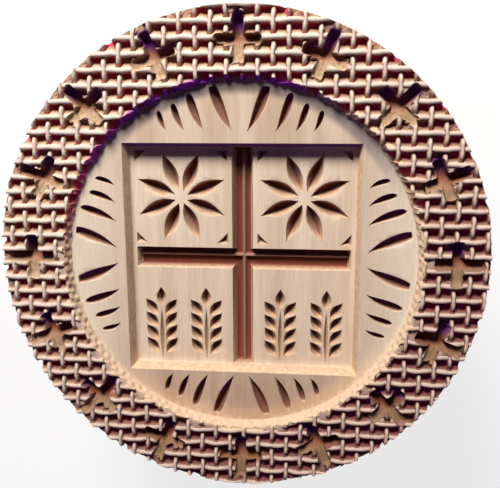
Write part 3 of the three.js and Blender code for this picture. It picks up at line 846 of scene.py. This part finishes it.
def bore(radius, low, high, facets):
    """A plain round cut on the axis."""
    return turned([(0, low), (radius, low), (radius, high), (0, high)], facets)


def carved_disc():
    """The block: weave, crosses and recess, turned round, with the core and the dowel's hole."""
    disc = mesh_object("carved_disc", *weave_block())
    seam, foot = RECESS_FLOOR_R - CORE_SEAM - CORE_OVERLAP, BACK_Z + CORE_FOOT + CORE_OVERLAP
    combine(disc, rim_plug(), "UNION")
    combine(disc, joined([cross_cuts(), rough_wall(DISC_FACETS * 3)]), "DIFFERENCE")
    combine(disc, bore(seam, foot, RECESS_Z + PAST, DISC_FACETS), "DIFFERENCE")
    combine(disc, outside(), "INTERSECT")
    combine(disc, taken(core()), "UNION")
    combine(disc, bore(DOWEL_HOLE_R, BACK_Z - PAST, DOWEL_HIGH.z + PAST, HOLE_FACETS), "DIFFERENCE")
    return disc


def curve(start, first, second, end, steps):
    """Points of a Bezier curve after its start."""
    start, first, second, end = (np.array(p, float) for p in (start, first, second, end))
    points = []
    for k in range(1, steps + 1):
        t = k / steps
        s = 1 - t
        points.append(tuple(s ** 3 * start + 3 * s * s * t * first + 3 * s * t * t * second + t ** 3 * end))
    return points


def turned_handle():
    """The grip on the lathe's lines, with its end on the table and the flange against the block."""
    belly = (KNOB_Z - END_ROUND) / 2
    waist = (NECK_Z - KNOB_Z) / 2
    cove_z = BACK_Z - FLANGE_EDGE - COVE_FILLET
    cove = (cove_z - NECK_Z) * 0.7
    profile = [(END_R - END_ROUND, 0.0)]
    for first, second, end, steps in (
        ((END_R - END_ROUND / 3, 0), (END_R, END_ROUND / 3), (END_R, END_ROUND), 6),
        ((END_R + END_ROUND, END_ROUND + belly), (KNOB_R, KNOB_Z - belly), (KNOB_R, KNOB_Z), 16),
        ((KNOB_R, KNOB_Z + waist), (NECK_R, NECK_Z - waist), (NECK_R, NECK_Z), 20),
        ((NECK_R, NECK_Z + cove), (COVE_R - COVE_FILLET, cove_z), (COVE_R, cove_z), 14),
    ):
        profile += curve(profile[-1], first, second, end, steps)
    edge_z = cove_z + COVE_FILLET
    profile.append((COVE_R, edge_z))
    profile += curve(profile[-1], (FLANGE_R - 1.5, edge_z), (FLANGE_R, edge_z + 1), (FLANGE_R, BACK_Z), 10)
    seat = DOWEL_LOW.z
    hole = [(DOWEL_HOLE_R, BACK_Z), (DOWEL_HOLE_R, seat), (0, seat)]
    return mesh_object("turned_handle", *turned([(0, 0.0), *profile, *hole], HANDLE_FACETS))


class Corners:
    """The block's face corners: their places, their faces' normals and what they lie on."""

    def __init__(self, mesh):
        corners = read(mesh.loops, "vertex_index", kind=np.int32)
        counts = read(mesh.polygons, "loop_total", kind=np.int32)
        self.x, self.y, self.z = read(mesh.vertices, "co", 3)[corners].T.astype(float)
        self.nx, self.ny, self.nz = np.repeat(read(mesh.polygons, "normal", 3), counts, axis=0).T
        self.r = np.hypot(self.x, self.y)
        self.depth = FACE_Z - self.z
        # How far a wall turns to the near side, away from the lamp
        self.away = np.clip(0.2 * self.nx - 0.98 * self.ny, 0.0, 1.0)
        outward = (self.nx * self.x + self.ny * self.y) / np.maximum(self.r, 1.0)
        self.carved = (self.z > BACK_Z + 12) & ~((self.r > DISC_R - 0.3) & (outward > 0.8))
        self.in_ring = self.carved & (self.r > RECESS_R - 0.2)
        self.inside = self.carved & ~self.in_ring
        self.off_x, self.off_y = self.x - PANEL_X, self.y - PANEL_Y
        half = PANEL_HALF - 0.3
        self.sunk = self.inside & (np.abs(self.off_x) < half) & (np.abs(self.off_y) < half)
        # On or beside a cross, and how far above its middle in the picture
        self.crossed, self.by_cross = np.zeros((2, len(self.x)), bool)
        self.above = np.zeros(len(self.x))
        for angle, cx, cy in CROSSES:
            here = on_cross(self.x, self.y, angle, cx, cy, ON_CROSS)
            self.crossed |= here
            self.by_cross |= on_cross(self.x, self.y, angle, cx, cy, BESIDE_CROSS)
            self.above = np.where(here, self.y - cy, self.above)
        self.crossed &= self.in_ring & (self.depth < CROSS_DEPTH + 0.5)


# Painted shade deep in the weave's pockets and on pocket walls turned from the lamp
def pocket_shade(at):
    in_pocket = at.in_ring & ~at.crossed & (at.depth < WEAVE_DEPTH + 0.5)
    wall = AWAY_TONE * rising(at.away, *POCKET_AWAY) * rising(at.depth, *POCKET_WALL)
    across = ((at.y - SHIFT_Y) / PITCH) % 1
    deep = rising(at.depth, *POCKET_DEEP)
    deep *= POCKET_LEAST + (1 - POCKET_LEAST) * rising(across, *POCKET_ACROSS)
    return np.where(in_pocket, np.maximum(deep, wall), 0.0) * np.where(at.by_cross, BESIDE_SHARE, 1.0)


def cut_warm_shade(at):
    """Painted shade in reddish brown, deeper down in the panel's cuts: more in its grooves, but less on their
    ridges and side walls.
    """
    below = PANEL_Z - at.z
    in_groove = (np.abs(at.off_x) < GROOVE_HALF + 0.1) | (np.abs(at.off_y) < GROOVE_HALF + 0.1)
    reach = RIDGE_HALF + 0.3
    by_ridge = (np.abs(at.off_x - RIDGE_ASIDE) < reach) | (np.abs(at.off_y - RIDGE_UP) < reach)
    on_ridge = by_ridge & (at.z > PANEL_Z - GROOVE_DEPTH + 0.4)
    groove_warm_shade = GROOVE_WARM * rising(below, np.where(at.ny > 0.3, 0.9, 0.3), 1.2)
    groove_warm_shade *= np.where(on_ridge, RIDGE_SHARE, np.where(np.abs(at.nx) > 0.5, GROOVE_WALL_SHARE, 1.0))
    return np.where(in_groove, groove_warm_shade, WARM_TONE * rising(below, *CUT_WARM_SHADED))


def tone_attributes(mesh):
    """Per face corner, from 0 to 1. deep_shade: painted shade deep in a pocket, or on the recess's dark far
    rim. warm_shade: painted shade in reddish brown, in leaves, crosses and the panel's cuts. shade: painted
    shade on walls that turn to the near side, away from the lamp, and in the crosses' arms on its side.
    far_rim_shadow: the rim's violet painted shadow. carved: all but the turned side and back. ring: the
    weave, and less so the panel. scooped: inside crosses. near_wall_mask: the recess's near wall, which
    takes a cream colour of its own."""
    at = Corners(mesh)
    in_cross = at.crossed * rising(at.depth, *CROSS_DEEP)
    in_leaf = (at.inside & ~at.sunk) * rising(RECESS_Z - at.z, *CHIP_DEEP)
    in_cut = at.sunk & (at.z < PANEL_Z - 0.02)
    # Painted shade on a cross's arms, growing towards the lamp's side of its middle
    cross_warm_shade = CROSS_WARM * in_cross * rising(at.above, *CROSS_WARMED)
    warm_shade = np.where(in_cut, cut_warm_shade(at), cross_warm_shade + LEAF_WARM * in_leaf)
    # Painted shade on leaf and cut walls turned from the lamp
    leaf = LEAF_TONE * in_leaf * rising(at.away, *LEAF_AWAY)
    cut = CUT_TONE * rising(PANEL_Z - at.z, *CHIP_DEEP) * rising(at.away, *CUT_AWAY)

    # Painted shade on the recess's and panel's walls turned from the lamp
    walls = at.inside & ~in_cut & (np.abs(at.nz) < 0.93)
    shade = np.where(walls, SHADE_TONE * rising(at.away, *WALL_AWAY), 0.0)
    # Painted shade in each cross's arms on the lamp's side
    shade = np.where(at.crossed, CROSS_TONE * in_cross * rising(at.above, *CROSS_SHADED), shade)
    by_rim = at.carved & ~at.crossed & (at.r > RECESS_FLOOR_R + 0.1)
    dark = rim_dark(at.x, at.y)
    shade = np.where(by_rim, shade * (NEAR_WALL_SHARE + (1 - NEAR_WALL_SHARE) * dark), shade)
    # Painted shadow along the recess's far rim, fading out behind its edge
    rim = np.where(by_rim, RIM_TONE * (1 - rising(at.r - RECESS_R, *RIM_EDGE)), 0.0)
    near_wall_mask = at.carved & ~at.crossed & (at.r > RECESS_FLOOR_R - 0.4) & (at.r < RING_FROM)
    near_wall_mask = (near_wall_mask & (at.z > RECESS_Z + 0.05)) * smoothstep(0.7 - towards(FAR_SIDE, at.x, at.y))
    layers = {
        "deep_shade": np.maximum(pocket_shade(at), rim * dark),
        "warm_shade": np.minimum(warm_shade + leaf + np.where(in_cut, cut, 0.0), 1.0),
        "shade": shade,
        "far_rim_shadow": rim * rising(towards(VIOLET_SIDE, at.x, at.y), 0.6, 0.35),
        "carved": at.carved,
        "ring": np.where(at.in_ring & (at.r > RING_FROM), 1.0, PANEL_TINT * at.sunk),
        "scooped": in_cross,
        "near_wall_mask": near_wall_mask,
    }
    for name, values in layers.items():
        layer = mesh.attributes.new(name, "FLOAT", "CORNER")
        layer.data.foreach_set("value", np.asarray(values, np.float32))


def finished(obj, material, node):
    """Brings a piece to metres, smooths its round faces and hands it to the frame."""
    mesh = obj.data
    mesh.transform(Matrix.Scale(1 / MM, 4))
    mesh.materials.clear()
    mesh.materials.append(material)
    level = np.abs(read(mesh.polygons, "normal", 3)[:, 2]) > 0.9998
    mesh.polygons.foreach_set("use_smooth", ~level)
    mesh.set_sharp_from_angle(angle=SHARP_ANGLE)
    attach(obj, "root")
    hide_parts(node)


# Materials

def new_material(name):
    material = bpy.data.materials.new(name)
    material.use_nodes = True
    return material, material.node_tree


def add_node(tree, kind, *sources, **values):
    """A shader node with settings and values by name, and sockets linked to its first inputs."""
    node = tree.nodes.new(kind)
    for key, value in values.items():
        if hasattr(node, key):
            setattr(node, key, value)
        else:
            node.inputs[key.replace("_", " ")].default_value = value
    for source, socket in zip(sources, node.inputs):
        tree.links.new(source, socket)
    return node


def ramp(tree, source, low, high, most=1.0):
    """From 0 to most as a socket's value goes from low to high."""
    return add_node(
        tree, "ShaderNodeMapRange", source, interpolation_type="SMOOTHSTEP",
        From_Min=low, From_Max=high, To_Min=0.0, To_Max=most,
    ).outputs["Result"]


def mixed(tree, factor, a, b, blend="MIX"):
    """Colour a turned into b by factor. Each of a and b is a colour or a socket."""
    node = add_node(tree, "ShaderNodeMix", data_type="RGBA", blend_type=blend)
    for socket, value in ((node.inputs[0], factor), (node.inputs[6], a), (node.inputs[7], b)):
        if isinstance(value, bpy.types.NodeSocket):
            tree.links.new(value, socket)
        elif isinstance(value, tuple):
            socket.default_value = (*value, 1)
        else:
            socket.default_value = value
    return node.outputs[2]


def noise(tree, scales, detail=3.0):
    """Noise that is stretched differently along each axis, scales being per metre."""
    place = tree.nodes.new("ShaderNodeTexCoord").outputs["Object"]
    stretched = add_node(tree, "ShaderNodeMapping", place, Scale=scales).outputs[0]
    values = {"Scale": 1.0, "Detail": detail, "Roughness": NOISE_ROUGHNESS}
    return add_node(tree, "ShaderNodeTexNoise", stretched, **values).outputs["Fac"]


def surfaced(tree, colour, height, roughness, specular, strength):
    """Gives the material's shader its colour, its gloss and a bump from a height."""
    inputs = tree.nodes["Principled BSDF"].inputs
    inputs["Roughness"].default_value = roughness
    inputs["Specular IOR Level"].default_value = specular
    bump = add_node(tree, "ShaderNodeBump", Strength=strength, Distance=BUMP_HEIGHT)
    tree.links.new(height, bump.inputs["Height"])
    tree.links.new(bump.outputs["Normal"], inputs["Normal"])
    tree.links.new(colour, inputs["Base Color"])


def attribute(tree, name):
    return add_node(tree, "ShaderNodeAttribute", attribute_name=name).outputs["Fac"]


def along(tree, place, line, low, high):
    """From 0 to 1 along a line through the middle of the object."""
    node = add_node(tree, "ShaderNodeVectorMath", place, operation="DOT_PRODUCT")
    node.inputs[1].default_value = line
    return ramp(tree, node.outputs["Value"], low, high)


def computed(tree, operation, *sources):
    return add_node(tree, "ShaderNodeMath", *sources, operation=operation).outputs[0]


def painted_floor_strip(tree, place, fade, line, reach):
    """A strip of the recess floor, on the side that a line points to, where painted shadow and painted light
    go. Fade is in millimetres.
    """
    flat = add_node(tree, "ShaderNodeVectorMath", place, operation="MULTIPLY")
    flat.inputs[1].default_value = (1.0, 1.0, 0.0)
    radius = add_node(tree, "ShaderNodeVectorMath", flat.outputs[0], operation="LENGTH").outputs["Value"]
    inner, full, less, outer = ((RECESS_R + shift) / MM for shift in fade)
    strip = computed(tree, "MULTIPLY", ramp(tree, radius, inner, full), ramp(tree, radius, outer, less))
    low, high = (share * RECESS_R / MM for share in reach)
    return computed(tree, "MULTIPLY", strip, along(tree, place, line, low, high))


def carved_wood():
    """Wood whose colour changes with its height, its tones and its place on the face."""
    material, tree = new_material("carved_wood")
    place = tree.nodes.new("ShaderNodeTexCoord").outputs["Object"]
    x, y, z = add_node(tree, "ShaderNodeSeparateXYZ", place).outputs
    normal = tree.nodes.new("ShaderNodeNewGeometry").outputs["True Normal"]
    facing = add_node(tree, "ShaderNodeSeparateXYZ", normal).outputs["Z"]
    fine = noise(tree, FINE_GRAIN)
    bands = ramp(tree, noise(tree, BROAD_GRAIN, detail=4), *BANDS)
    crumbs = ramp(tree, noise(tree, CRUMBS, detail=2), *BANDS)
    # 0 on the near side to 1 on the far side towards the lamp; every near colour mixed by it is painted shade
    far = along(tree, place, TINT_LINE, -TINT_REACH, TINT_REACH)
    ring = attribute(tree, "ring")

    def height(low, high):
        return ramp(tree, z, low / MM, high / MM)

    def mix(factor, a, b, blend="MIX"):
        return mixed(tree, factor, a, b, blend)

    # Level faces, from the recess's floor up to the strands' tops and down to the panel, with a painted shade
    # of darker brown partway down the weave
    level = mix(bands, LEVEL_DARK, LEVEL_LIGHT)
    level = mix(ramp(tree, computed(tree, "ABSOLUTE", x), *COOL_ASIDE), level, LEVEL_COOL)
    # Painted shade: level faces darker towards the near side
    level = mix(ramp(tree, y, *LOW_BELOW), level, LOW_SHADE_TINT, "MULTIPLY")
    # Painted light on the recess floor by the near wall
    level = mix(painted_floor_strip(tree, place, *NEAR_LIGHT_STRIP), level, NEAR_FLOOR_LIGHT, "MULTIPLY")
    # Painted shade: darker brown partway down the weave, darker on the near side
    low = mix(far, STRAND_LOW_SHADE_NEAR, STRAND_LOW_SHADE)
    level = mix(height(RECESS_Z + 0.4, RECESS_Z + 1.2), level, low)
    level = mix(height(FACE_Z - 1.5, FACE_Z - 0.35), level, STRAND_TOP)
    level = mix(height(RECESS_Z - 0.2, PANEL_Z + 0.2), level, mix(bands, PANEL_DARK, PANEL_LIGHT))

    # Walls, with a painted shade that darkens the pocket slopes further down, and what lies in crosses and on
    # the recess's near wall
    slopes = mix(height(FACE_Z - 1.7, FACE_Z - 0.4), low, mix(far, SLOPE_TOP_SHADE_NEAR, SLOPE_TOP))
    walls = mix(ramp(tree, ring, PANEL_TINT, 1.0), mix(crumbs, WALL_DARK, WALL_LIGHT), slopes)
    colour = mix(ramp(tree, facing, *FACING), level, walls)
    scooped = mix(far, SCOOPED_SHADE_NEAR, mix(crumbs, SCOOPED_DARK, SCOOPED))
    colour = mix(attribute(tree, "scooped"), colour, scooped)
    colour = mix(attribute(tree, "near_wall_mask"), colour, NEAR_WALL_CREAM)
    # Painted shade on the weave's near side, away from the lamp
    colour = mix(ring, colour, mix(far, NEAR_SHADE_TINT, UNTINTED), "MULTIPLY")
    # Painted shadow on the recess floor by the far rim
    colour = mix(painted_floor_strip(tree, place, *FAR_SHADOW_STRIP), colour, FAR_FLOOR_SHADOW, "MULTIPLY")

    # The turned side, the grain of all, and the painted shade in cuts, pockets, on walls and along the far
    # rim
    layers = ramp(tree, noise(tree, SIDE_GRAIN, detail=4), *BANDS)
    side = mix(layers, mix(bands, SIDE_DARK, SIDE_LIGHT), SIDE_LINE)
    colour = mix(attribute(tree, "carved"), side, colour)
    colour = mix(ramp(tree, fine, *FINE_BANDS), colour, GRAIN_TINT, "MULTIPLY")
    # Painted shade in reddish brown, deeper down in leaves, crosses and the panel's cuts
    colour = mix(attribute(tree, "warm_shade"), colour, WARM_SHADE)
    # Painted shade deep in pockets, on pocket walls turned from the lamp and along the far rim
    colour = mix(ramp(tree, attribute(tree, "deep_shade"), 0.0, 0.8), colour, mix(far, DEEP_SHADE_NEAR, DEEP_SHADE))
    # Painted shade on walls turned from the lamp and in the crosses' arms on its side
    colour = mix(attribute(tree, "shade"), colour, SHADED)
    # Painted shadow, violet, along the recess's far rim
    colour = mix(attribute(tree, "far_rim_shadow"), colour, FAR_RIM_SHADOW)
    surfaced(tree, colour, fine, *CARVED_SURFACE)
    return material


def turned_wood():
    material, tree = new_material("turned_wood")
    fibre = noise(tree, HANDLE_FIBRE)
    bands = ramp(tree, noise(tree, HANDLE_GRAIN, detail=4), *BANDS)
    colour = mixed(tree, bands, HANDLE_DARK, HANDLE_LIGHT)
    colour = mixed(tree, ramp(tree, fibre, *FIBRE_BANDS), colour, GRAIN_TINT, "MULTIPLY")
    surfaced(tree, colour, fibre, *TURNED_SURFACE)
    return material


# Stage: floor, lamps, world and camera

def shown_white(tree):
    """1 for what the camera and reflections see, so that both meet a white backdrop."""
    path = tree.nodes.new("ShaderNodeLightPath").outputs
    return computed(tree, "MAXIMUM", path["Is Camera Ray"], path["Is Glossy Ray"])


def plain_floor():
    bpy.ops.mesh.primitive_plane_add(size=FLOOR_SIZE, location=(0, 0, 0))
    floor = bpy.context.object
    floor.name = "floor"
    material, tree = new_material("floor")
    tree.nodes.clear()
    diffuse = add_node(tree, "ShaderNodeBsdfDiffuse", Color=(FLOOR_GREY, FLOOR_GREY, FLOOR_GREY, 1))
    glow = add_node(tree, "ShaderNodeEmission", Color=(1, 1, 1, 1), Strength=1.0)
    share = add_node(tree, "ShaderNodeMath", shown_white(tree), operation="MULTIPLY")
    share.inputs[1].default_value = FLOOR_GLOW
    mix = add_node(tree, "ShaderNodeMixShader", *(node.outputs[0] for node in (share, diffuse, glow)))
    add_node(tree, "ShaderNodeOutputMaterial", mix.outputs[0])
    floor.data.materials.append(material)


def studio():
    """White to the camera, but a dim violet light on the object, for its shadows."""
    world = bpy.data.worlds.new("studio")
    bpy.context.scene.world = world
    world.use_nodes = True
    tree = world.node_tree
    background = tree.nodes["Background"]
    sky = tuple(channel * SKY_STRENGTH for channel in SKY)
    tree.links.new(mixed(tree, shown_white(tree), sky, UNTINTED), background.inputs["Color"])
    background.inputs["Strength"].default_value = 1.0


def key_lamp():
    """One soft round lamp from the top of the picture, low enough for the carving's shadows."""
    key = bpy.data.lights.new("key", "AREA")
    key.shape = "DISK"
    key.size = KEY_SIZE
    key.energy = KEY_WATTS
    key.color = KEY_COLOUR
    lamp = bpy.data.objects.new("key", key)
    azimuth, elevation = math.radians(KEY_AZIMUTH), math.radians(KEY_ELEVATION)
    level = math.cos(elevation)
    towards_lamp = Vector((math.cos(azimuth) * level, math.sin(azimuth) * level, math.sin(elevation)))
    turn = towards_lamp.to_track_quat("Z", "Y").to_matrix().to_4x4()
    lamp.matrix_world = Matrix.Translation(towards_lamp * KEY_DISTANCE + Vector((0, 0, FACE_Z / MM))) @ turn
    bpy.context.collection.objects.link(lamp)


def camera():
    """Where the photograph's perspective puts it, above the face and towards its top."""
    place = Vector(CAMERA_PLACE) + Vector((0, 0, FACE_Z))
    forward = Vector(CAMERA_FORWARD).normalized()
    up = Vector(CAMERA_RIGHT).cross(forward).normalized()
    right = forward.cross(up).normalized()
    turn = Matrix((right, up, -forward)).transposed()
    data = bpy.data.cameras.new("camera")
    data.lens = LENS
    data.sensor_width = SENSOR
    data.clip_start = CLIP_START
    obj = bpy.data.objects.new("camera", data)
    obj.matrix_world = Matrix.Translation(place / MM) @ turn.to_4x4()
    bpy.context.collection.objects.link(obj)
    bpy.context.scene.camera = obj


camera()
plain_floor()
studio()
key_lamp()
bpy.context.scene.view_settings.view_transform = "Standard"
disc = carved_disc()
tone_attributes(disc.data)
finished(disc, carved_wood(), "stamp_disc")
wood = turned_wood()
finished(turned_handle(), wood, "handle")
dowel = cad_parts["handle_dowel"]
dowel.data.materials.clear()
dowel.data.materials.append(wood)
